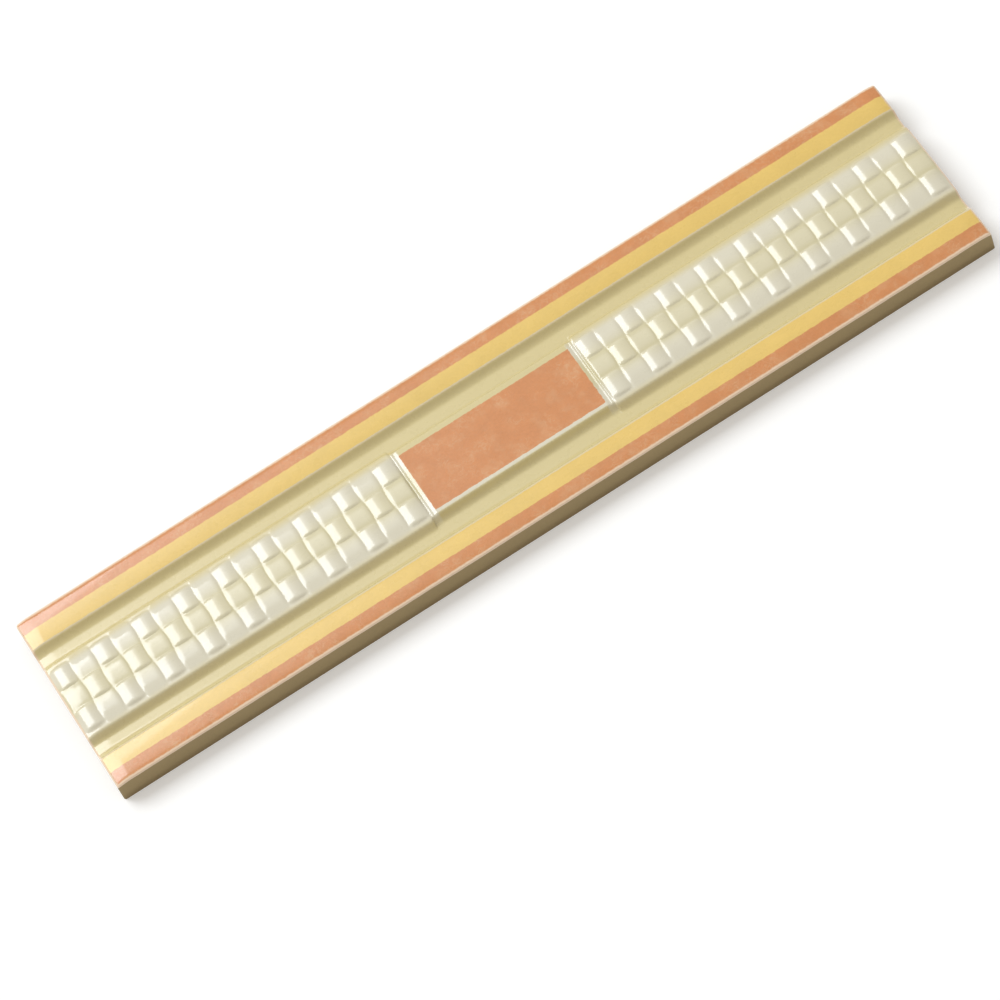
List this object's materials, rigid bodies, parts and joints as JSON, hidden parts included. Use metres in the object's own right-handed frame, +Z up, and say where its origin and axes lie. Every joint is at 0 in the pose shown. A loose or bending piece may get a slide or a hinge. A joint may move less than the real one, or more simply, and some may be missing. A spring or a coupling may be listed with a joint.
{
  "type": "border tile",
  "caption": "Long narrow glazed ceramic border tile with striped lips, hollow coves, a woven relief band and a flat coloured centre panel, bedded on a wall by its flat back.",
  "frame": {"origin": "centre of the flat back, on the surface that the tile lies on", "axes": "+X along the tile, +Y across it, +Z up from the back towards the glazed face"},
  "size_m": [0.25, 0.054, 0.0087],
  "materials": {
    "glaze": "glossy cream glaze with coral and yellow stripes over a fired clay body"
  },
  "bodies": {
    "root": {"border_tile": "glaze"}
  },
  "joints": []
}
